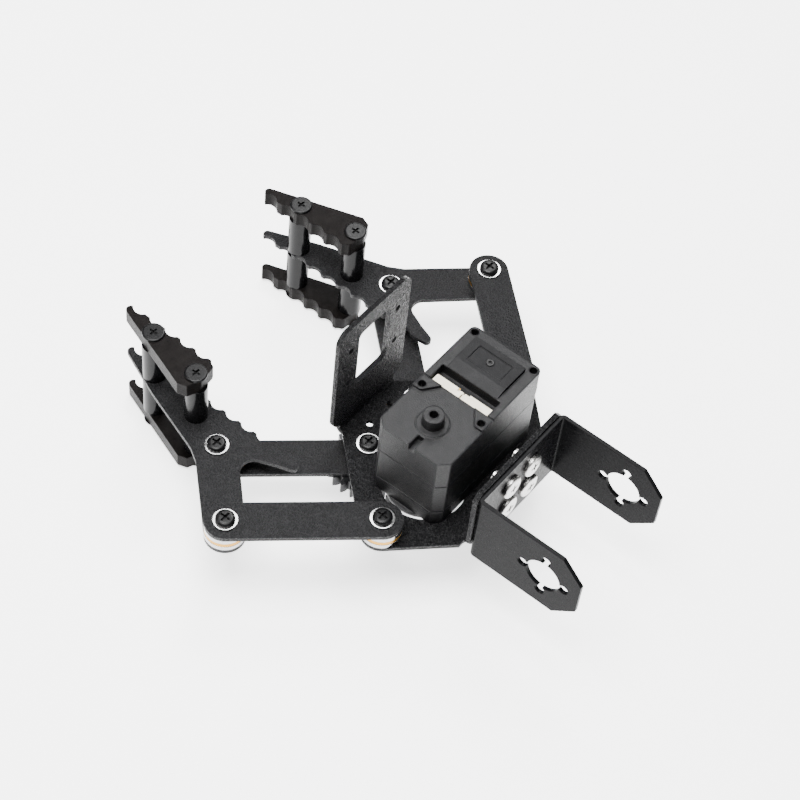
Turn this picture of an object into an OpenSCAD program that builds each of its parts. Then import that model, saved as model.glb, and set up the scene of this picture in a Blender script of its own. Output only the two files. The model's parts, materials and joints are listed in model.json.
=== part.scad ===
// Two-jaw parallel-linkage gripper with a bus servo, a camera bracket and a wrist yoke.
// Row frame: origin at the middle of the wrist axis, +X towards the jaws, +Z up.
// Most parts are drawn in the plate frame: x = 0 on the gear pivots, z = 0 on the base plate's top.

/* [Linkage] */
// Gear module of the link gears
gear_module = 1; // [0.8:0.1:1.1]
// Teeth on each link gear
link_teeth = 22; // [20:2:24]
// Teeth on the full circle of the servo's sector gear
drive_teeth = 19; // [17:2:21]
// Distance between the pivots of a link
link_length = 44; // [40:1:50]
// Angle of the links from straight ahead, as drawn
rest_angle = 42; // [30:1:55]
// Distance from an inner pivot back to the outer pivot
outer_back = 21.5; // [20:0.5:23]
// Distance from an inner pivot out to the outer pivot
outer_side = 21; // [20:0.5:23]
// Width of a link
link_width = 12; // [11:0.5:13]
// Thickness of the base, link and jaw plates
plate_t = 1.5; // [1.2:0.1:2]
// Thickness of a link gear
gear_t = 4; // [3:0.5:5]

/* [Pivots] */
// Outer diameter of a thrust bearing
thrust_d = 12; // [11:0.5:12]
// Height of a thrust bearing, which is the gap between two plates
thrust_h = 4.5; // [4:0.25:5]
// Outer diameter of a flanged bearing
bearing_d = 6; // [6:0.5:6.5]
// Diameter of the pivot screws
pivot_d = 3; // [2.5:0.5:3]

/* [Jaws] */
// Distance from the inner pivot to the finger tips
jaw_reach = 43; // [40:1:48]
// Thickness of a finger plate
finger_t = 5; // [4:0.5:6]
// Length of a standoff
standoff_l = 14.5; // [12:0.5:18]
// Diameter of a standoff
standoff_d = 7; // [5:0.5:7]
// Spacing of the grip ridges
ridge_pitch = 5.9; // [5:0.1:6.5]

/* [Wrist yoke] */
// Overall width across the two ears
yoke_width = 40; // [38:1:44]
// Height of the ears
yoke_height = 26; // [25:1:28]
// Thickness of the yoke's sheet
yoke_t = 1.2; // [1:0.1:1.5]
// Distance from the wrist axis to the back of the web
yoke_depth = 23; // [21:1:26]
// Diameter of the hole on the wrist axis
wrist_bore_d = 11.2; // [11:0.1:11.4]
// Pitch circle of the four horn screw holes
horn_pcd = 14; // [13.8:0.1:14.2]

/* [Camera bracket] */
// Width of the camera bracket
bracket_width = 32; // [30:1:36]
// Height of the camera bracket above the base plate
bracket_height = 45.8; // [42:0.2:50]
// Hole spacing across the bracket
camera_across = 21; // [20:0.5:22]
// Hole spacing up the bracket
camera_up = 14.5; // [12.5:0.5:15]

/* [Servo] */
// Length of the servo case
servo_l = 45.2; // [45:0.1:46]
// Width of the servo case
servo_w = 24.7; // [24.5:0.1:25]
// Height of the servo case at its rim
servo_h = 29.9; // [29.5:0.1:31]
// Distance from the output axis to the near end of the case
servo_axis = 10.1; // [10:0.1:10.5]

/* [Hidden] */
$fn = 48;

LEFT = 1;
RIGHT = -1;
eps = 0.01;

// Plate frame, seen from the wrist axis
plate_x = 68;
plate_z = -10.4;

// Levels of the stack of plates
plate_low = -plate_t;
outer_low = thrust_h;
outer_top = thrust_h + plate_t;
inner_top = plate_low - thrust_h;
inner_low = inner_top - plate_t;
gear_low = inner_low - gear_t;

// Pivots
gear_r = gear_module * link_teeth / 2;
drive_r = gear_module * drive_teeth / 2;
inner_pivot = [0, gear_r];
outer_pivot = [-outer_back, gear_r + outer_side];
link_vector = link_length * [cos(rest_angle), sin(rest_angle)];
jaw_origin = inner_pivot + link_vector;
jaw_outer = [-outer_back, outer_side];
end_r = link_width / 2;

// Bearings: ball bearings with a flange, and a thrust bearing around their bodies
flange_r = bearing_d / 2 + 0.6;
flange_t = 0.6;
bearing_h = 2.5;
bearing_bore_r = pivot_d / 2 + 0.05;
race_t = thrust_h / 3;
race_bore_r = bearing_d / 2 + 0.1;
seat_gap = 0.05;
nut_h = 2.4;
nut_across = 5.5;

// Folded sheet
bend_in = 0.8;
bend_out = bend_in + plate_t;
front_fold = 8.7;
bracket_face = front_fold + bend_in;
rear_fold = -41.5;
tab_face = rear_fold - bend_in;
tab_rear = rear_fold - bend_out;
neck_front = 12.5;
neck_rear = 18.3;
tab_half = 20;
tab_top = 24.3;
relief_z = 2.6;
window = [14, 23];
window_low = 16.4;
camera_mid = 28.1;
screw_square = horn_pcd * cos(45);

// Servo, measured from its output axis
servo_at = [-gear_r - drive_r, gear_r];
case_x = servo_w / 2;
case_near = servo_axis;
case_far = servo_axis - servo_l;
wall = 1.5;
split_low = 5.5;
split_high = 18;
deck_z = servo_h - 1;
column_x = 10.45;
column_far = case_far + 1.9;
column_near = column_far + 24.7;
columns = [for (x = [-column_x, column_x], y = [column_far, column_near]) [x, y]];
mount_holes = [for (x = [-column_x, column_x], y = [column_far, column_far + 22]) [x, y]];
horn_low = -4;
slot_low = -17.9;
slot_high = -12;
board_z = 24.8;
slot_floor = board_z + 1.5;
pin_x = [for (side = [-1, 1], i = [-1:1]) side * 4.95 + i * 2.5];
pin_y = slot_high - 3.8;
mid_floor = 10.6;
cutout_r = 12.7;
boss_r = 11.3;
boss_h = 1.2;
idle_h = 4.4;
seam = 0.2;

// Gear train inside the servo
fine_module = 0.5;
train_wheel = 22;
train_pinion = 12;
output_teeth = 30;
train_r = fine_module * (train_wheel + train_pinion) / 2;
stage2_x = 1.5;
stage1_x = -3.7;
stage2_at = [stage2_x, -sqrt(pow(fine_module * (output_teeth + train_pinion) / 2, 2) - pow(stage2_x, 2))];
stage1_at = [stage1_x, stage2_at.y - sqrt(pow(train_r, 2) - pow(stage1_x - stage2_x, 2))];
motor_at = [0, stage1_at.y - sqrt(pow(train_r, 2) - pow(stage1_x, 2))];

// Jaw outline, measured from the jaw's inner pivot
grip_y = -gear_r + 0.15;
nose_r = 1.4;
first_ridge = jaw_reach - 7;
ridge_r = 0.75;
hook_tip = -22.6;
pad_rear = [13.8, 1.6];
standoff_at = [[30.8, -7.3], [11.9, -4.4]];
upper_z = standoff_l;
lower_z = -plate_t - standoff_l - finger_t;

function polar(r, a) = [r * cos(a), r * sin(a)];
function heading(a, b) = atan2(b.y - a.y, b.x - a.x);
function tangent(c, r, p, side) = c + polar(r, heading(c, p) + side * acos(r / norm(p - c)));
horn_screw_at = [for (a = [135, 225]) polar(horn_pcd / 2, a)];
function arc(c, r, from) = [for (i = [0:8]) c + polar(r, from + 90 * i / 8)];
function involute(a) = tan(a) * 180 / PI - a;

// Half of the angle that a tooth takes up at radius r
function tooth_half(r, teeth, pitch_r, slack) =
    let (pressure = 25, base_r = pitch_r * cos(pressure), a = acos(min(1, base_r / max(r, base_r))))
    (90 - slack * 90 / PI) / teeth + involute(pressure) - involute(a);

// Spur gear outline with a tooth centred at the angle phase, over all teeth or only those near it
module spur(teeth, mod, phase, from = 0, to = 0) {
    pitch_r = teeth * mod / 2;
    tip_r = pitch_r + 0.95 * mod;
    root_r = pitch_r - 1.25 * mod;
    radii = [for (i = [0:4]) root_r + (tip_r - root_r) * i / 4];
    last = to > from ? to : from + teeth - 1;
    points = [for (k = [from:last], s = [-1, 1], i = [0:4])
        let (r = radii[s < 0 ? i : 4 - i])
        polar(r, phase + k * 360 / teeth + s * tooth_half(r, teeth, pitch_r, 0.2))];
    polygon(to > from ? concat([[0, 0]], points) : points);
}

module plate_frame() {
    translate([plate_x, 0, plate_z]) children();
}
module servo_frame() {
    plate_frame() translate([servo_at.x, servo_at.y, 0]) children();
}
module sided(side) {
    mirror([0, side == RIGHT ? 1 : 0, 0]) children();
}
module jaw_frame(side) {
    plate_frame() sided(side) translate([jaw_origin.x, jaw_origin.y, 0]) children();
}
module at(point, z = 0) {
    translate([point.x, point.y, z]) children();
}
// A plate of thickness t whose outline lies in X and Z, from y upwards
module xz_plate(y, t) {
    translate([0, y + t, 0]) rotate([90, 0, 0]) linear_extrude(t) children();
}
// A plate of thickness t whose outline lies in Y and Z, from x upwards
module yz_plate(x, t) {
    translate([x, 0, 0]) rotate([90, 0, 90]) linear_extrude(t) children();
}
module rounded(low, high, r) {
    translate([low.x + r, low.y]) square([high.x - low.x - 2 * r, high.y - low.y]);
    translate([low.x, low.y + r]) square([high.x - low.x, high.y - low.y - 2 * r]);
    for (x = [low.x + r, high.x - r], y = [low.y + r, high.y - r]) {
        translate([x, y]) circle(r);
    }
}
module ring(outer, inner, h) {
    difference() {
        cylinder(h = h, r = outer);
        translate([0, 0, -1]) cylinder(h = h + 2, r = inner);
    }
}
// Quarter of a folded edge along Y, between the plate and an upright sheet
module fold(x, length, dir) {
    intersection() {
        translate([x, length / 2, bend_in]) rotate([90, 0, 0]) ring(bend_out, bend_in, length);
        translate([dir > 0 ? x : x - 5, -length / 2, bend_in - 5]) cube([5, length, 5]);
    }
}

// Machine screw along Z with its head above z = 0; a low head is flat and wide
module screw(d, length, head_d, head_h, recess = 1.6) {
    r = head_d / 2;
    edge = head_h * 0.45;
    steps = 4;
    dome = [for (i = [0:steps]) [r - head_h * 0.8 + head_h * 0.8 * cos(i * 90 / steps),
                                 edge + (head_h - edge) * sin(i * 90 / steps)]];
    difference() {
        rotate_extrude() polygon(concat([[0, -length], [d / 2 - 0.25, -length], [d / 2, -length + 0.25],
                                         [d / 2, 0], [r, 0]], dome, [[0, head_h]]));
        for (a = [0, 90]) {
            rotate(a) translate([-recess, -0.3, head_h - recess * 0.55]) cube([2 * recess, 0.6, 2]);
        }
        translate([0, 0, head_h - recess * 0.7]) cylinder(h = 2, r = recess * 0.42);
    }
}
module pivot_screw(length) {
    screw(pivot_d, length, 5.7, 1.35);
}
module pivot_nut() {
    flat_r = nut_across / 2;
    corner_r = flat_r + 0.45;
    difference() {
        intersection() {
            cylinder(h = nut_h, r = nut_across / sqrt(3), $fn = 6);
            rotate_extrude() polygon([[0, 0], [flat_r, 0], [corner_r, 0.4], [corner_r, nut_h - 0.4],
                                      [flat_r, nut_h], [0, nut_h]]);
        }
        translate([0, 0, -1]) cylinder(h = nut_h + 2, r = pivot_d / 2);
    }
}
// Flanged bearing with its flange on z = 0, and its body below the flange
module flanged_bearing() {
    difference() {
        union() {
            cylinder(h = flange_t, r = flange_r);
            translate([0, 0, flange_t - bearing_h]) cylinder(h = bearing_h, r = bearing_d / 2);
        }
        translate([0, 0, -5]) cylinder(h = 10, r = bearing_bore_r);
    }
}
module flanged_bearing_below() {
    mirror([0, 0, 1]) flanged_bearing();
}
module race(z) {
    translate([0, 0, z]) ring(thrust_d / 2, race_bore_r, race_t);
}
// Brass cage of a thrust bearing with its balls, between two races, from z upwards
module thrust_cage(z) {
    balls = 10;
    ball_r = race_t / 2 - seat_gap;
    track_r = (thrust_d / 2 + race_bore_r) / 2;
    difference() {
        translate([0, 0, z + 0.1]) ring(thrust_d / 2 - 0.05, race_bore_r + 0.2, race_t - 0.2);
        for (i = [1:balls]) {
            at(polar(track_r, i * 360 / balls), z - 1) cylinder(h = 4, r = ball_r + 0.1);
        }
    }
    for (i = [1:balls]) {
        at(polar(track_r, i * 360 / balls), z + race_t / 2) sphere(ball_r);
    }
}
module pivot_hole(point) {
    at(point) circle(bearing_d / 2);
}

// Base plate: flat outline, camera bracket folded up in front, mounting tab folded up behind
module base_outline() {
    neck = [front_fold, neck_front];
    corner = [rear_fold + 0.3, 21];
    edge_front = tangent(outer_pivot, end_r, neck, 1);
    edge_rear = tangent(outer_pivot, end_r, corner, -1);
    half = [neck, edge_front, outer_pivot, edge_rear, corner, [rear_fold + 0.3, 19.2],
            [rear_fold, neck_rear]];
    for (side = [LEFT, RIGHT]) {
        mirror([0, side == RIGHT ? 1 : 0]) {
            polygon(concat([[front_fold, 0]], half, [[rear_fold, 0]]));
            translate(outer_pivot) circle(end_r);
        }
    }
}
module camera_face() {
    half = bracket_width / 2;
    difference() {
        union() {
            rounded([-half, relief_z], [half, bracket_height], 4);
            translate([-neck_front, bend_in]) square([2 * neck_front, 5]);
        }
        rounded([-window.x / 2, window_low], [window.x / 2, window_low + window.y], 2);
        for (y = [-0.5, 0.5], z = [-0.5, 0.5]) {
            translate([y * camera_across, camera_mid + z * camera_up]) circle(r = 1.1);
        }
    }
}
module tab_face_outline() {
    difference() {
        union() {
            polygon([[-tab_half, relief_z], [tab_half, relief_z], [tab_half, tab_top - 2],
                     [tab_half - 2, tab_top], [2 - tab_half, tab_top], [-tab_half, tab_top - 2]]);
            translate([-neck_rear, bend_in]) square([2 * neck_rear, 3]);
        }
        for (y = [-0.5, 0.5], z = [-0.5, 0.5]) {
            translate([y * screw_square, z * screw_square - plate_z]) circle(r = 1.5);
        }
    }
}
module base_plate() {
    color([0.13, 0.13, 0.14]) plate_frame() {
        translate([0, 0, plate_low]) linear_extrude(plate_t) difference() {
            base_outline();
            for (side = [LEFT, RIGHT]) {
                pivot_hole([inner_pivot.x, side * inner_pivot.y]);
                pivot_hole([outer_pivot.x, side * outer_pivot.y]);
                translate([4.5, side * 4.8]) circle(r = 1.15);
            }
            translate(servo_at) circle(cutout_r);
            for (p = mount_holes) {
                translate(servo_at + p) circle(r = 1.35);
            }
        }
        fold(front_fold, 2 * neck_front, 1);
        fold(rear_fold, 2 * neck_rear, -1);
        yz_plate(bracket_face, plate_t) camera_face();
        yz_plate(tab_rear, plate_t) tab_face_outline();
    }
}

// Wrist yoke: web and two ears with notched horn holes
module ear_outline() {
    half = yoke_height / 2;
    reach = -12;
    cut = 7;
    difference() {
        polygon([[yoke_depth, -half], [reach + cut, -half], [reach, cut - half], [reach, half - cut],
                 [reach + cut, half], [yoke_depth, half]]);
        circle(wrist_bore_d / 2);
        for (a = [0:90:270]) {
            translate(polar(horn_pcd / 2, a)) circle(r = 1.6);
        }
    }
}
module wrist_yoke() {
    half = yoke_width / 2;
    bend = yoke_t + 0.5;
    color([0.1, 0.1, 0.11]) {
        for (y = [-half, half - yoke_t]) {
            xz_plate(y, yoke_t) intersection() {
                ear_outline();
                translate([-40, -40]) square([40 + yoke_depth + yoke_t - bend, 80]);
            }
        }
        yz_plate(yoke_depth, yoke_t) difference() {
            translate([bend - half, -yoke_height / 2]) square([yoke_width - 2 * bend, yoke_height]);
            for (y = [-0.5, 0.5], z = [-0.5, 0.5]) {
                translate([y * screw_square, z * screw_square]) circle(r = 1.6);
            }
        }
        for (side = [LEFT, RIGHT]) {
            intersection() {
                translate([yoke_depth + yoke_t - bend, side * (half - bend), -yoke_height / 2])
                    ring(bend, 0.5, yoke_height);
                translate([yoke_depth + yoke_t - bend, side > 0 ? half - bend : -half, -yoke_height / 2])
                    cube([bend, bend, yoke_height]);
            }
        }
    }
}
module yoke_screws() {
    color("silver") for (y = [-0.5, 0.5], z = [-0.5, 0.5]) {
        translate([yoke_depth, y * screw_square, z * screw_square]) rotate([0, -90, 0])
            screw(3, 6, 7.5, 1.4);
    }
}

// Servo case outline, moved in from its walls by inset
module case_outline(inset = 0) {
    x = case_x - inset;
    near = case_near - inset;
    far = case_far + inset;
    chamfer = 2.6;
    corner = 1.9;
    polygon(concat([[x, near - chamfer], [x - chamfer, near], [chamfer - x, near], [-x, near - chamfer]],
                   arc([corner - x, far + corner], corner, 180),
                   arc([x - corner, far + corner], corner, 270)));
}
module column_outline() {
    intersection() {
        case_outline();
        for (p = columns) {
            translate(p) circle(r = 2);
        }
    }
}
module cavity(z, h) {
    translate([0, 0, z]) linear_extrude(h) difference() {
        case_outline(wall);
        column_outline();
    }
}
module column_bores(z, h, r) {
    for (p = columns) {
        at(p, z) cylinder(h = h, r = r);
    }
}
module servo_lower_case() {
    color([0.1, 0.1, 0.1]) servo_frame() difference() {
        union() {
            linear_extrude(split_low) case_outline();
            translate([0, 0, -boss_h]) cylinder(h = boss_h + eps, r = boss_r);
        }
        cavity(1.8, split_low);
        translate([0, 0, -3]) cylinder(h = 6, r = 5);
        for (p = [stage1_at, stage2_at]) {
            at(p, 0.8) cylinder(h = 2, r = 0.75);
        }
        for (p = mount_holes) {
            at(p, -1) cylinder(h = 5, r = 1.1);
        }
    }
}
module servo_middle_case() {
    color([0.1, 0.1, 0.1]) servo_frame() difference() {
        union() {
            translate([0, 0, split_low]) linear_extrude(split_high - split_low) case_outline(seam);
            translate([0, 0, split_low + seam]) {
                linear_extrude(split_high - split_low - 2 * seam) case_outline();
            }
        }
        cavity(split_low - 1, mid_floor - split_low + 1);
        cavity(mid_floor + wall, split_high);
        translate([0, 0, mid_floor - 1]) cylinder(h = 2, r = 1.55);
        at(motor_at, mid_floor - 1) cylinder(h = 5, r = 3.6);
        for (p = [stage1_at, stage2_at]) {
            at(p, mid_floor - 1) cylinder(h = 1.8, r = 0.75);
        }
        column_bores(8, 20, 0.8);
    }
}
module servo_upper_case() {
    ear = 2.4;
    color([0.1, 0.1, 0.1]) servo_frame() difference() {
        union() {
            difference() {
                translate([0, 0, split_high]) linear_extrude(servo_h - split_high) case_outline();
                translate([-20, slot_high, deck_z]) cube([40, 40, 5]);
                cavity(split_high - 1, deck_z - wall - split_high + 1);
            }
            translate([-3, case_near - 6, deck_z - 4]) cube([5.4, 5, 3]);
            for (p = [for (c = columns) if (c.y == column_near) c]) {
                dir = sign(p.x);
                translate([0, 0, deck_z - eps]) linear_extrude(servo_h - deck_z + eps) union() {
                    translate(p) circle(r = 1.9);
                    polygon([[dir * case_x, slot_high + 0.4], [p.x, slot_high + 0.4],
                             [dir * (column_x - ear - 2.2), slot_high + 0.4], [p.x - dir * 1.2, p.y + 1.5],
                             [p.x, p.y + 1.9], [dir * case_x, p.y + 1.9]]);
                }
            }
            translate([-10.7, slot_low - 0.6, slot_floor - 0.4]) cube([21.4, slot_high - slot_low + 1.2, 2]);
            translate([0, 0, deck_z - eps]) cylinder(h = 0.4, r = 4.8);
            translate([0, 0, deck_z - eps]) cylinder(h = idle_h, r = 3.15);
        }
        translate([-10.2, slot_low, slot_floor]) cube([20.4, slot_high - slot_low, 10]);
        for (x = pin_x) {
            translate([x - 0.4, pin_y - 0.4, board_z]) cube([0.8, 0.8, 5]);
        }
        translate([0, 0, deck_z]) cylinder(h = 10, r = 1.3);
        translate([-1.4, case_near - 4.6, deck_z - 2.2]) cube([2, 6, 5]);
        column_bores(split_high - 1, 30, 0.8);
        column_bores(20, 30, 1.2);
    }
}
// Raised cover over the board, sloping down to the connector slot
module servo_rear_cover() {
    half = 8.8;
    back = -31.4;
    ridge = -21.6;
    rise = 1.2;
    color([0.11, 0.11, 0.12]) servo_frame() difference() {
        translate([-half, 0, 0]) rotate([90, 0, 90]) linear_extrude(2 * half)
            polygon([[back, servo_h], [back, servo_h + rise], [ridge, servo_h + rise],
                     [slot_low, servo_h + 0.1], [slot_low, servo_h]]);
        translate([-5.9, -29.4, servo_h + rise - 0.4]) cube([11.8, 6.2, 2]);
        translate([0, -26.3, servo_h]) cylinder(h = 3, r = 0.8);
    }
}
module servo_label_plate() {
    color([0.03, 0.03, 0.03]) servo_frame() translate([0, -26.3, servo_h + 0.8]) difference() {
        translate([-5.8, -3, 0]) cube([11.6, 6, 0.3]);
        translate([0, 0, -1]) cylinder(h = 3, r = 0.8);
    }
}
module servo_cover_screw() {
    color([0.2, 0.2, 0.2]) servo_frame() translate([0, -26.3, servo_h + 1.1]) screw(1.6, 1.1, 2.6, 0.3, 0.6);
}
module servo_case_screws() {
    color("gray") servo_frame() for (p = columns) {
        at(p, 20) screw(1.6, 12, 2.2, 1.2, 0.6);
    }
}
module servo_mount_screws() {
    color([0.15, 0.15, 0.15]) servo_frame() for (p = mount_holes) {
        at(p, plate_low) rotate([180, 0, 0]) screw(2.2, 5.2, 4.4, 1.5, 1.1);
    }
}
// Housings of two three-pin headers along the front of the slot
module servo_connectors() {
    depth = 2.9;
    color([0.93, 0.88, 0.76]) servo_frame() for (side = [-1, 1]) {
        translate([side * 4.95 - 4.75, slot_high - depth - 0.05, slot_floor]) difference() {
            cube([9.5, depth, 2.4]);
            translate([side > 0 ? -1 : 7.7, -1, 1.6]) cube([2.8, 2, 2]);
        }
    }
}
module connector_pins() {
    color("gold") servo_frame() for (x = pin_x) {
        translate([x - 0.3, pin_y - 0.3, board_z + 1]) cube([0.6, 0.6, 1.2]);
    }
}
module control_board() {
    color("darkgreen") servo_frame() {
        difference() {
            translate([-10.5, -32.6, board_z]) cube([21, 23.5, 1]);
            for (p = columns) {
                at(p, board_z - 1) cylinder(h = 3, r = 2.3);
            }
        }
        translate([-3, -28, board_z + 1]) cube([6, 6, 0.9]);
    }
}
module servo_motor() {
    can_low = mid_floor + wall;
    color("silver") servo_frame() at(motor_at) {
        translate([0, 0, can_low]) cylinder(h = board_z - can_low - 0.2, r = 8.3);
        translate([0, 0, can_low - 1.5]) cylinder(h = 1.5, r = 3);
    }
}
module gear_axles() {
    color("gray") servo_frame() for (p = [stage1_at, stage2_at]) {
        at(p, 0.9) cylinder(h = mid_floor - 0.3, r = 0.75);
    }
}
module output_bearing() {
    color("silver") servo_frame() translate([0, 0, -boss_h]) ring(5, 3.05, boss_h + 1.8);
}

// Gears of the servo's train; each stage meshes with the next at rest
module train_stage(point, z_pinion, z_wheel, towards_pinion, towards_wheel) {
    servo_frame() at(point) difference() {
        union() {
            translate([0, 0, z_pinion]) linear_extrude(3)
                spur(train_pinion, fine_module, towards_pinion + 180 / train_pinion);
            translate([0, 0, z_wheel]) linear_extrude(2) spur(train_wheel, fine_module, towards_wheel);
            translate([0, 0, z_pinion]) cylinder(h = z_wheel - z_pinion + 1, r = 2.2);
        }
        translate([0, 0, -1]) cylinder(h = 20, r = 0.8);
    }
}
module reduction_gear_2() {
    color("goldenrod")
        train_stage(stage2_at, 2.2, 5.6, heading(stage2_at, [0, 0]), heading(stage2_at, stage1_at));
}
module reduction_gear_1() {
    color("goldenrod")
        train_stage(stage1_at, 4.9, 8.2, heading(stage1_at, stage2_at), heading(stage1_at, motor_at));
}
module motor_pinion() {
    color("goldenrod") servo_frame() at(motor_at) {
        translate([0, 0, 8.2]) linear_extrude(2)
            spur(train_pinion, fine_module, heading(motor_at, stage1_at) + 180 / train_pinion);
    }
}
module output_shaft() {
    color("goldenrod") servo_frame() {
        translate([0, 0, 2.2]) linear_extrude(2.8)
            spur(output_teeth, fine_module, heading([0, 0], stage2_at));
        translate([0, 0, horn_low + 0.9]) cylinder(h = 6, r = 3);
        translate([0, 0, 4.9]) cylinder(h = 4.7, r = 2.6);
        translate([0, 0, 9.5]) cylinder(h = 1.9, r = 1.5);
    }
}
module servo_horn() {
    horn_r = 10;
    color("silver") servo_frame() translate([0, 0, horn_low]) difference() {
        cylinder(h = 2.6, r = horn_r);
        translate([0, 0, 0.9]) cylinder(h = 5, r = 3);
        translate([0, 0, -1]) cylinder(h = 5, r = 1.5);
        for (a = [45:90:315]) {
            at(polar(horn_pcd / 2, a), -1) cylinder(h = 5, r = 1.45);
        }
    }
}
// Hub with two lobes for the horn screws, turned away from the link gear over the whole travel
module hub_outline() {
    circle(r = 4.4);
    for (p = horn_screw_at) {
        translate(p) circle(r = 1.9);
        rotate(heading([0, 0], p)) translate([0, -1.9]) square([horn_pcd / 2, 3.8]);
    }
}
// The sector only needs the teeth that the jaws' travel brings into mesh
module sector_outline() {
    spur(drive_teeth, gear_module, 0, -3, 3);
    hub_outline();
}
module drive_spacer() {
    color([0.2, 0.2, 0.2]) servo_frame() translate([0, 0, inner_low])
        linear_extrude(horn_low - inner_low) difference() {
            hub_outline();
            circle(r = 1.6);
            for (p = horn_screw_at) {
                translate(p) circle(r = 1.5);
            }
        }
}
module drive_gear() {
    color([0.08, 0.08, 0.08]) servo_frame() translate([0, 0, gear_low]) linear_extrude(gear_t) difference() {
        sector_outline();
        circle(r = 1.6);
        for (p = horn_screw_at) {
            translate(p) circle(r = 1.5);
        }
    }
}
module horn_screws() {
    color([0.1, 0.1, 0.1]) servo_frame() {
        for (p = concat([[0, 0]], horn_screw_at)) {
            at(p, gear_low) rotate([180, 0, 0]) screw(2.8, 10, 4.6, 1.6, 1.2);
        }
    }
}

// Pivots on the base: screws, nuts, bearings and the races that lie on the base plate
module base_pivot_screws() {
    head_gap = flange_t + seat_gap;
    color([0.08, 0.08, 0.08]) plate_frame() for (side = [LEFT, RIGHT]) {
        at([inner_pivot.x, side * inner_pivot.y], flange_t) pivot_screw(15.6);
        at([outer_pivot.x, side * outer_pivot.y], outer_top + head_gap) pivot_screw(12);
    }
}
module base_pivot_nuts() {
    color("gray") plate_frame() for (side = [LEFT, RIGHT]) {
        at([inner_pivot.x, side * inner_pivot.y], gear_low - flange_t - seat_gap - nut_h) pivot_nut();
        at([outer_pivot.x, side * outer_pivot.y], plate_low - flange_t - nut_h) pivot_nut();
    }
}
module base_flange_bearings() {
    color("silver") plate_frame() for (side = [LEFT, RIGHT]) {
        at([inner_pivot.x, side * inner_pivot.y]) flanged_bearing();
        at([outer_pivot.x, side * outer_pivot.y], plate_low) flanged_bearing_below();
    }
}
module base_thrust_races() {
    color("lightgray") plate_frame() for (side = [LEFT, RIGHT]) {
        at([inner_pivot.x, side * inner_pivot.y]) race(plate_low - race_t);
        at([outer_pivot.x, side * outer_pivot.y]) race(0);
    }
}

// Links, from their base pivot; a link end is round about its pivot
module link_outline() {
    rotate(rest_angle) difference() {
        union() {
            translate([0, -end_r]) square([link_length, link_width]);
            circle(end_r);
            translate([link_length, 0]) circle(end_r);
        }
        circle(bearing_d / 2);
        translate([link_length, 0]) circle(bearing_d / 2);
    }
}
gear_screw_at = [for (a = [140, 220]) polar(6.8, rest_angle + a)];
module inner_link(side) {
    color([0.12, 0.12, 0.13]) plate_frame() sided(side) at(inner_pivot, inner_low) linear_extrude(plate_t) {
        difference() {
            union() {
                link_outline();
                circle(r = 8.6);
            }
            circle(bearing_d / 2);
            for (p = gear_screw_at) {
                translate(p) circle(r = 0.8);
            }
        }
    }
}
module link_gear(side) {
    phase = side == LEFT ? -90 : -90 + 180 / link_teeth;
    color([0.08, 0.08, 0.08]) plate_frame() sided(side) at(inner_pivot, gear_low) difference() {
        linear_extrude(gear_t) spur(link_teeth, gear_module, phase);
        translate([0, 0, -1]) cylinder(h = gear_t + 2, r = bearing_d / 2);
        for (p = gear_screw_at) {
            at(p, -1) cylinder(h = gear_t + 2, r = 1);
        }
    }
}
module gear_screws(side) {
    color("gray") plate_frame() sided(side) at(inner_pivot) for (p = gear_screw_at) {
        at(p, gear_low) rotate([180, 0, 0]) screw(1.6, gear_t + 1, 2.9, 0.9, 0.7);
    }
}
// Bearings that turn with an inner link: gear end below, jaw end below, and the upper races
module link_bearings(side) {
    color("lightgray") plate_frame() sided(side) {
        at(inner_pivot, gear_low) flanged_bearing_below();
        at(inner_pivot) race(inner_top);
        at(inner_pivot) thrust_cage(inner_top + race_t);
        at(jaw_origin, inner_low) flanged_bearing_below();
        at(jaw_origin) race(inner_top);
    }
}
module outer_link(side) {
    color([0.12, 0.12, 0.13]) plate_frame() sided(side) at(outer_pivot, outer_low) {
        linear_extrude(plate_t) link_outline();
    }
}
module outer_bearings(side) {
    color("lightgray") plate_frame() sided(side) for (p = [outer_pivot, outer_pivot + link_vector]) {
        at(p, outer_top) flanged_bearing();
        at(p) race(outer_low - race_t);
        at(p) thrust_cage(race_t);
    }
}

// Ridged inner edge that the jaw plate and the finger plates share
module grip_edge(from, to) {
    valley = 1.2;
    scallop_r = 2.9;
    difference() {
        children();
        translate([from - 3, grip_y - 10]) square([to - from + 3, 10]);
        for (i = [-1:20]) {
            x = first_ridge - (i + 0.5) * ridge_pitch + (i < 0 ? 0.7 : 0);
            if (x > from && x < to) {
                translate([x, grip_y + valley - scallop_r]) circle(scallop_r);
            }
        }
    }
    for (i = [0:20]) {
        x = first_ridge - i * ridge_pitch;
        if (x > from + 1 && x < to) {
            translate([x, grip_y + ridge_r]) circle(ridge_r);
        }
    }
}
nose_at = [jaw_reach - nose_r, grip_y + nose_r];
module finger_outline() {
    rear = [9.1, -3.6];
    grip_edge(rear.x, jaw_reach) {
        polygon([nose_at, nose_at + polar(nose_r, 70), pad_rear, [10.9, 0.6], rear, [9.7, -9], [10.6, grip_y],
                 [nose_at.x, grip_y]]);
        translate(nose_at) circle(nose_r);
    }
}
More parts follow.
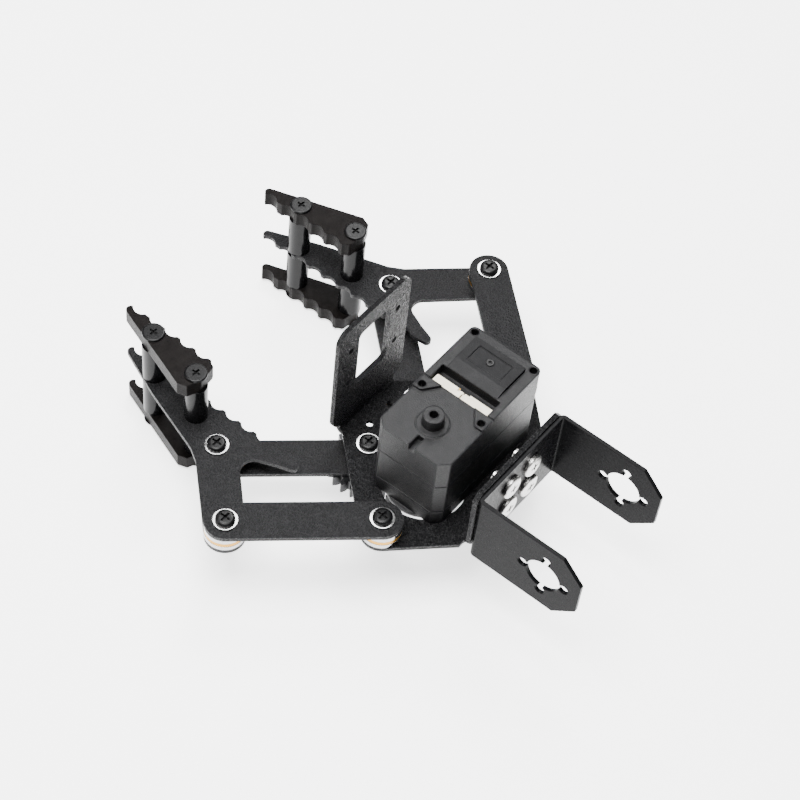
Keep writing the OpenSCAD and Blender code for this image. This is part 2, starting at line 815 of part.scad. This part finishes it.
module jaw_outline() {
    armpit = [-13.93, -0.43];
    armpit_r = 4.1;
    hook_at = [hook_tip + nose_r, -9.1];
    shoulder = [1, 8];
    arm_r = end_r - 0.03;
    arm_side = polar(arm_r, heading(jaw_outer, [0, 0]) - 90);
    difference() {
        union() {
            grip_edge(-17, jaw_reach) {
                polygon([nose_at, nose_at + polar(nose_r, 70), [26.8, -1.8], [5.3, 5.4], shoulder,
                         tangent(jaw_outer, arm_r, shoulder, 1), jaw_outer, jaw_outer + arm_side,
                         armpit + polar(armpit_r - 0.05, 45.7), armpit + polar(armpit_r - 0.05, -66.3),
                         [-17, -6.2], hook_at + polar(nose_r, 110), hook_at, hook_at + polar(nose_r, 260),
                         [-17, grip_y], [nose_at.x, grip_y]]);
                translate(nose_at) circle(nose_r);
            }
            translate(hook_at) circle(nose_r);
            translate(jaw_outer) circle(end_r);
        }
        translate(armpit) circle(armpit_r);
        circle(bearing_d / 2);
        translate(jaw_outer) circle(bearing_d / 2);
        for (p = standoff_at) {
            translate(p) circle(r = 1.6);
        }
    }
}
module jaw_plate(side) {
    color([0.12, 0.12, 0.13]) jaw_frame(side) translate([0, 0, plate_low])
        linear_extrude(plate_t) jaw_outline();
}
module finger_plate(side, z) {
    color([0.1, 0.1, 0.1]) jaw_frame(side) translate([0, 0, z]) linear_extrude(finger_t) difference() {
        finger_outline();
        for (p = standoff_at) {
            translate(p) circle(r = 1.6);
        }
    }
}
module standoffs(side) {
    color([0.15, 0.15, 0.15]) jaw_frame(side) for (p = standoff_at, z = [0, plate_low - standoff_l]) {
        at(p, z) ring(standoff_d / 2, 1.5, standoff_l);
    }
}
// One screw from above and one from below through each stack of finger, standoff and jaw plate
module finger_screws(side) {
    grip = finger_t + standoff_l - 0.5;
    color([0.08, 0.08, 0.08]) jaw_frame(side) for (p = standoff_at) {
        at(p, upper_z + finger_t) screw(3, grip, 6.8, 0.7, 1.3);
        at(p, lower_z) rotate([180, 0, 0]) screw(3, grip, 6.8, 0.7, 1.3);
    }
}
module jaw_pivot_screws(side) {
    color([0.08, 0.08, 0.08]) jaw_frame(side) {
        translate([0, 0, flange_t]) pivot_screw(12);
        at(jaw_outer, outer_top + flange_t + seat_gap) pivot_screw(12);
        translate([0, 0, inner_low - flange_t - seat_gap - nut_h]) pivot_nut();
        at(jaw_outer, plate_low - flange_t - nut_h) pivot_nut();
    }
}
module jaw_bearings(side) {
    color("lightgray") jaw_frame(side) {
        flanged_bearing();
        race(plate_low - race_t);
        thrust_cage(inner_top + race_t);
        at(jaw_outer, plate_low) flanged_bearing_below();
        at(jaw_outer) race(0);
    }
}

base_plate();
wrist_yoke();
yoke_screws();
servo_lower_case();
servo_middle_case();
servo_upper_case();
servo_rear_cover();
servo_label_plate();
servo_cover_screw();
servo_case_screws();
servo_mount_screws();
servo_connectors();
connector_pins();
control_board();
servo_motor();
gear_axles();
output_bearing();
motor_pinion();
reduction_gear_1();
reduction_gear_2();
output_shaft();
servo_horn();
drive_spacer();
drive_gear();
horn_screws();
base_pivot_screws();
base_pivot_nuts();
base_flange_bearings();
base_thrust_races();
inner_link(LEFT);  // left_inner_link
link_gear(LEFT);  // left_link_gear
gear_screws(LEFT);  // left_gear_screws
link_bearings(LEFT);  // left_link_bearings
inner_link(RIGHT);  // right_inner_link
link_gear(RIGHT);  // right_link_gear
gear_screws(RIGHT);  // right_gear_screws
link_bearings(RIGHT);  // right_link_bearings
outer_link(LEFT);  // left_outer_link
outer_bearings(LEFT);  // left_outer_bearings
outer_link(RIGHT);  // right_outer_link
outer_bearings(RIGHT);  // right_outer_bearings
jaw_plate(LEFT);  // left_jaw_plate
finger_plate(LEFT, upper_z);  // left_upper_finger
finger_plate(LEFT, lower_z);  // left_lower_finger
standoffs(LEFT);  // left_standoffs
finger_screws(LEFT);  // left_finger_screws
jaw_pivot_screws(LEFT);  // left_jaw_pivot_screws
jaw_bearings(LEFT);  // left_jaw_bearings
jaw_plate(RIGHT);  // right_jaw_plate
finger_plate(RIGHT, upper_z);  // right_upper_finger
finger_plate(RIGHT, lower_z);  // right_lower_finger
standoffs(RIGHT);  // right_standoffs
finger_screws(RIGHT);  // right_finger_screws
jaw_pivot_screws(RIGHT);  // right_jaw_pivot_screws
jaw_bearings(RIGHT);  // right_jaw_bearings
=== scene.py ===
import json
import math
import bpy
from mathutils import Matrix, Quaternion, Vector


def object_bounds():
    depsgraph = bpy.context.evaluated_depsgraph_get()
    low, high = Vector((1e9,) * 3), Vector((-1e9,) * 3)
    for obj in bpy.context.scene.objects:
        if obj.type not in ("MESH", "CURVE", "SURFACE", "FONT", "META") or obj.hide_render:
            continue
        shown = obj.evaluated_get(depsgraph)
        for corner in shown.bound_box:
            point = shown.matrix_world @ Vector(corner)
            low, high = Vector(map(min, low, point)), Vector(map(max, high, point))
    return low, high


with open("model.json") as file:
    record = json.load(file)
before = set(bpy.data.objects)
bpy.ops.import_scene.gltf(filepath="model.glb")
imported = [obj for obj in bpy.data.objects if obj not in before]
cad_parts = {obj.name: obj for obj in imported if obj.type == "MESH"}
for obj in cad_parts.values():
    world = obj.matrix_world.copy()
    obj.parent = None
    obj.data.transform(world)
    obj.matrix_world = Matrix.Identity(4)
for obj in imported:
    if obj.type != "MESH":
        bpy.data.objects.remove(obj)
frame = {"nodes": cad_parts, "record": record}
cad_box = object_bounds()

MM = 0.001
NODES = frame["nodes"]
SCENE = bpy.context.scene

# Shading
IOR = 1.5
BEVEL_SAMPLES = 6
EDGE_HIGHLIGHT_FACING = (0.97, 0.8)  # cosine between a face and its softened normal: none and all of the painted edge highlight
TURNING_LINES = (1, 1, 12)  # noise squeezed upright into fine lines
DRAWN_LINES = (1, 1, 6)
MIX_FACTOR, MIX_A, MIX_B, MIX_RESULT = 0, 6, 7, 2  # colour sockets of a Mix node

# Ball cages among the rings of a thrust bearing
CORNER_STEPS = 1e7  # corners closer than a tenth of a micrometre are one
CAGE_WIDTH_MM = 8
CAGE_HEIGHT_MM = (1.1, 1.4)

# Studio, in metres and watts
FLOOR_SIZE = 6
FLOOR_MIDDLE = (0.06, 0)
FLOOR_GAP = 0.2 * MM
FLOOR_GLOW = 2.2
WORLD_LIGHT = 0.16
WHITE = (1, 1, 1, 1)
LIGHTS = {  # name: place, size, power
    "top_light": ((0.16, 0.1, 0.9), (0.6, 0.6), 30),
    "left_light": ((0.6, 0.6, 0.4), (0.3, 0.5), 3),
    "right_light": ((0.35, -0.55, 0.8), (0.35, 0.35), 8),
}
CAMERA_PLACE = Vector((-0.13605, 0.31675, 0.49933))
CAMERA_AIM = Vector((0.0669, -0.00118, 0.0))
CAMERA_ROLL = math.radians(7.293)
LENS_MM = 97.14
SENSOR_MM = 36
NEAR_CLIP = 0.01


# ---- Materials -------------------------------------------------------------

class Shader:
    """A Principled material with a few shorthand calls for its nodes."""

    def __init__(self, name, roughness=0.5, metallic=0.0, specular=0.5):
        self.material = bpy.data.materials.new(name)
        self.material.use_nodes = True
        self.tree = self.material.node_tree
        self.bsdf = self.tree.nodes["Principled BSDF"]
        self.bsdf.inputs["Metallic"].default_value = metallic
        self.bsdf.inputs["Roughness"].default_value = roughness
        self.bsdf.inputs["IOR"].default_value = IOR
        self.bsdf.inputs["Specular IOR Level"].default_value = specular
        self.place = self.add("ShaderNodeTexCoord").outputs["Object"]

    def add(self, kind, **values):
        node = self.tree.nodes.new(kind)
        for key, value in values.items():
            setattr(node, key, value)
        return node

    def link(self, out, into):
        self.tree.links.new(out, into)

    def scaled(self, scale):
        node = self.add("ShaderNodeMapping")
        node.inputs["Scale"].default_value = scale
        self.link(self.place, node.inputs["Vector"])
        return node.outputs["Vector"]

    def noise(self, scale, detail=2.0, rough=0.5, stretch=None):
        node = self.add("ShaderNodeTexNoise")
        node.inputs["Scale"].default_value = scale
        node.inputs["Detail"].default_value = detail
        node.inputs["Roughness"].default_value = rough
        self.link(self.scaled(stretch) if stretch else self.place, node.inputs["Vector"])
        return node.outputs["Fac"]

    def cells(self, scale):
        node = self.add("ShaderNodeTexVoronoi")
        node.inputs["Scale"].default_value = scale
        self.link(self.place, node.inputs["Vector"])
        return node.outputs["Distance"]

    def colour(self, fac, low, high):
        """Base colour between two stops, each a position and a colour."""
        node = self.add("ShaderNodeValToRGB")
        for element, (at, colour) in zip(node.color_ramp.elements, (low, high)):
            element.position = at
            element.color = (*colour, 1)
        self.link(fac, node.inputs["Fac"])
        self.link(node.outputs["Color"], self.bsdf.inputs["Base Color"])

    def ranged(self, value, start, end, low, high):
        node = self.add("ShaderNodeMapRange")
        node.inputs["From Min"].default_value = start
        node.inputs["From Max"].default_value = end
        node.inputs["To Min"].default_value = low
        node.inputs["To Max"].default_value = high
        self.link(value, node.inputs["Value"])
        return node.outputs["Result"]

    def rough(self, fac, low, high, start=0.3, end=0.7):
        self.link(self.ranged(fac, start, end, low, high), self.bsdf.inputs["Roughness"])

    def softened(self, radius):
        """The surface normal with its edges rounded to a radius."""
        node = self.add("ShaderNodeBevel", samples=BEVEL_SAMPLES)
        node.inputs["Radius"].default_value = radius
        return node.outputs["Normal"]

    def painted_edge_highlight(self, radius, highlight_tone):
        """Paint a highlight into the base colour along sharp edges, over the colour set so far."""
        facing = self.add("ShaderNodeVectorMath", operation="DOT_PRODUCT")
        self.link(self.softened(radius), facing.inputs[0])
        self.link(self.add("ShaderNodeNewGeometry").outputs["True Normal"], facing.inputs[1])
        mix = self.add("ShaderNodeMix", data_type="RGBA")
        base = self.bsdf.inputs["Base Color"]
        self.link(self.ranged(facing.outputs["Value"], *EDGE_HIGHLIGHT_FACING, 0.0, 1.0), mix.inputs[MIX_FACTOR])
        self.link(base.links[0].from_socket, mix.inputs[MIX_A])
        mix.inputs[MIX_B].default_value = (*highlight_tone, 1)
        self.link(mix.outputs[MIX_RESULT], base)

    def relief(self, height, depth, strength, edge):
        """Bump from height, over edges softened to a radius."""
        bump = self.add("ShaderNodeBump")
        bump.inputs["Distance"].default_value = depth
        bump.inputs["Strength"].default_value = strength
        self.link(height, bump.inputs["Height"])
        self.link(self.softened(edge), bump.inputs["Normal"])
        self.link(bump.outputs["Normal"], self.bsdf.inputs["Normal"])
        return self


def textured_black():
    """Black powder coat with a coarse wrinkle that sparkles where it faces the light."""
    s = Shader("powder_coat", specular=0.16)
    grain = s.noise(1500, 2, 0.6)
    s.colour(grain, (0.4, (0.002, 0.002, 0.0023)), (0.66, (0.014, 0.014, 0.0147)))
    s.rough(grain, 0.5, 0.18, 0.42, 0.62)
    # painted highlight along the sharp edges of the sheet
    s.painted_edge_highlight(0.00022, (0.05, 0.05, 0.052))
    return s.relief(grain, 0.0013, 1.0, 0.0003).material


def fine_black():
    """The finer coat of the links and jaws."""
    s = Shader("fine_powder_coat", specular=0.17)
    grain = s.noise(1900, 2, 0.6)
    s.colour(grain, (0.4, (0.003, 0.003, 0.0034)), (0.62, (0.0085, 0.0085, 0.0092)))
    s.rough(grain, 0.55, 0.3, 0.4, 0.62)
    # painted highlight along the sharp edges of the links and jaws
    s.painted_edge_highlight(0.0002, (0.04, 0.04, 0.042))
    return s.relief(grain, 0.0005, 1.0, 0.0003).material


def satin_black():
    s = Shader("satin_coat", specular=0.035)
    s.colour(s.noise(220, 3), (0.3, (0.003, 0.003, 0.0034)), (0.7, (0.005, 0.005, 0.0054)))
    s.rough(s.noise(700, 4, 0.6), 0.22, 0.34)
    return s.relief(s.noise(5200, 2), 0.00002, 0.6, 0.0003).material


def finger_black():
    """Satin anodised plate, a slightly brown black."""
    s = Shader("anodised_plate", specular=0.04)
    s.colour(s.noise(500, 3), (0.3, (0.0036, 0.003, 0.0029)), (0.7, (0.0066, 0.0056, 0.0053)))
    s.rough(s.noise(2600, 3, 0.6), 0.26, 0.44)
    return s.relief(s.noise(3200, 3, 0.6), 0.00012, 0.8, 0.0004).material


def standoff_black():
    s = Shader("glossy_anodised", specular=0.12)
    s.colour(s.noise(500, 2), (0.3, (0.003, 0.003, 0.0033)), (0.7, (0.005, 0.005, 0.0054)))
    s.rough(s.noise(800, 3), 0.14, 0.24)
    return s.relief(s.noise(900, 2, 0.5, DRAWN_LINES), 0.00001, 0.5, 0.0002).material


def servo_plastic():
    s = Shader("servo_plastic", specular=0.22)
    grain = s.noise(2600, 3, 0.65)
    s.colour(s.noise(500, 2), (0.3, (0.0035, 0.0035, 0.004)), (0.7, (0.0065, 0.0065, 0.007)))
    s.rough(grain, 0.3, 0.48, 0.38, 0.6)
    # painted highlight along the sharp edges of the servo case
    s.painted_edge_highlight(0.00016, (0.07, 0.07, 0.073))
    return s.relief(grain, 0.00014, 0.9, 0.0008).material


def cover_plastic():
    s = Shader("cover_plastic", specular=0.11)
    grain = s.noise(2600, 3, 0.6)
    s.colour(s.noise(300, 2), (0.3, (0.004, 0.004, 0.0045)), (0.7, (0.007, 0.007, 0.0076)))
    s.rough(grain, 0.34, 0.5, 0.38, 0.6)
    return s.relief(grain, 0.00014, 0.8, 0.00025).material


def connector_plastic():
    s = Shader("moulded_nylon", specular=0.4)
    s.colour(s.noise(600, 2), (0.3, (0.66, 0.6, 0.47)), (0.7, (0.78, 0.73, 0.6)))
    s.rough(s.noise(2000, 2), 0.4, 0.55)
    return s.relief(s.noise(2500, 2), 0.00001, 0.5, 0.00015).material


def metal(name, dark, light, smooth, dull):
    s = Shader(name, metallic=1.0)
    fine = s.noise(900, 4, 0.65, TURNING_LINES)
    s.colour(fine, (0.3, dark), (0.7, light))
    s.rough(fine, smooth, dull)
    return s.relief(fine, 0.000006, 0.6, 0.00012).material


def black_screw():
    s = Shader("black_oxide", specular=0.14)
    s.colour(s.noise(1500, 3), (0.3, (0.002, 0.002, 0.0022)), (0.75, (0.004, 0.004, 0.0043)))
    s.rough(s.noise(2200, 3), 0.24, 0.38)
    return s.relief(s.noise(2600, 2), 0.00001, 0.6, 0.00015).material


def board():
    s = Shader("solder_mask")
    s.colour(s.cells(700), (0.2, (0.01, 0.07, 0.03)), (0.6, (0.02, 0.13, 0.055)))
    s.rough(s.noise(900, 2), 0.25, 0.4)
    return s.relief(s.cells(700), 0.00002, 0.5, 0.0001).material


def pale_floor():
    s = Shader("studio_floor", roughness=0.8, specular=0.2)
    s.colour(s.noise(6, 2), (0.3, (0.95, 0.95, 0.95)), (0.7, (0.97, 0.97, 0.97)))
    s.bsdf.inputs["Emission Color"].default_value = WHITE
    s.bsdf.inputs["Emission Strength"].default_value = FLOOR_GLOW
    return s.material


FINE_COAT = fine_black()
BRASS = metal("brass", (0.4, 0.19, 0.025), (0.6, 0.34, 0.06), 0.25, 0.4)
MATERIALS = {
    "textured_black": textured_black(),
    "satin_black": satin_black(),
    "bare_steel": metal("bright_zinc", (0.52, 0.51, 0.5), (0.74, 0.73, 0.71), 0.2, 0.38),
    "bearing_steel": metal("ground_steel", (0.34, 0.34, 0.34), (0.52, 0.52, 0.52), 0.1, 0.22),
    "black_screw": black_screw(),
    "horn_metal": metal("satin_aluminium", (0.68, 0.68, 0.69), (0.85, 0.85, 0.86), 0.25, 0.4),
    "servo_plastic": servo_plastic(),
    "cover_plastic": cover_plastic(),
    "connector_plastic": connector_plastic(),
    "brass_part": BRASS,
    "board": board(),
    "gear_black": metal("black_anodised_gear", (0.012, 0.012, 0.013), (0.03, 0.03, 0.031), 0.28, 0.42),
    "finger_black": finger_black(),
    "standoff_black": standoff_black(),
}


def islands(mesh):
    """Lists of face indices, one for each loose solid of a mesh, joined where corners coincide."""
    owner = {}

    def root(key):
        while owner[key] != key:
            owner[key] = owner[owner[key]]
            key = owner[key]
        return key

    keys = [tuple(round(c * CORNER_STEPS) for c in v.co) for v in mesh.vertices]
    for key in keys:
        owner[key] = key
    for face in mesh.polygons:
        first = root(keys[face.vertices[0]])
        for v in face.vertices[1:]:
            owner[root(keys[v])] = first
    groups = {}
    for face in mesh.polygons:
        groups.setdefault(root(keys[face.vertices[0]]), []).append(face.index)
    return list(groups.values())


def dress_nodes():
    """One material a node. Of the textured sheets only the base plate has the coarse coat."""
    for part in frame["record"]["subparts"]:
        name, slot = part["node"], part["material_slot"]
        fine_coated = slot == "textured_black" and name != "base_plate"
        materials = NODES[name].data.materials
        materials.clear()
        materials.append(FINE_COAT if fine_coated else MATERIALS[slot])


def dress_cages():
    """The ball cages of the thrust bearings are brass, told from the races by width and height."""
    for name, node in NODES.items():
        if "bearings" not in name or name.startswith("base"):
            continue
        mesh = node.data
        brass_slot = len(mesh.materials)
        mesh.materials.append(BRASS)
        for group in islands(mesh):
            corners = [mesh.vertices[v].co for f in group for v in mesh.polygons[f].vertices]
            size = [(max(c[i] for c in corners) - min(c[i] for c in corners)) / MM for i in range(3)]
            if size[0] > CAGE_WIDTH_MM and CAGE_HEIGHT_MM[0] < size[2] < CAGE_HEIGHT_MM[1]:
                for f in group:
                    mesh.polygons[f].material_index = brass_slot


dress_nodes()
dress_cages()


# ---- Studio ----------------------------------------------------------------

def floor(level):
    bpy.ops.mesh.primitive_plane_add(size=FLOOR_SIZE, location=(*FLOOR_MIDDLE, level))
    plane = bpy.context.object
    plane.name = "studio_floor"
    plane.data.materials.append(pale_floor())


def softbox(name, place, aim, size, power):
    data = bpy.data.lights.new(name, "AREA")
    data.shape = "RECTANGLE"
    data.size, data.size_y = size
    data.energy = power
    light = bpy.data.objects.new(name, data)
    light.location = place
    light.rotation_mode = "QUATERNION"
    light.rotation_quaternion = (Vector(aim) - Vector(place)).to_track_quat("-Z", "Y")
    SCENE.collection.objects.link(light)


def camera():
    data = bpy.data.cameras.new("camera")
    data.lens = LENS_MM
    data.sensor_width = SENSOR_MM
    data.clip_start = NEAR_CLIP
    item = bpy.data.objects.new("camera", data)
    item.location = CAMERA_PLACE
    item.rotation_mode = "QUATERNION"
    look = (CAMERA_AIM - CAMERA_PLACE).to_track_quat("-Z", "Y")
    item.rotation_quaternion = look @ Quaternion((0, 0, 1), CAMERA_ROLL)
    SCENE.collection.objects.link(item)
    SCENE.camera = item


def studio():
    world = bpy.data.worlds.new("studio")
    world.use_nodes = True
    sky = world.node_tree.nodes["Background"]
    sky.inputs["Color"].default_value = WHITE
    sky.inputs["Strength"].default_value = WORLD_LIGHT
    SCENE.world = world
    middle = (cad_box[0] + cad_box[1]) / 2
    for name, (place, size, power) in LIGHTS.items():
        softbox(name, place, middle, size, power)
    floor(cad_box[0].z - FLOOR_GAP)
    camera()


studio()
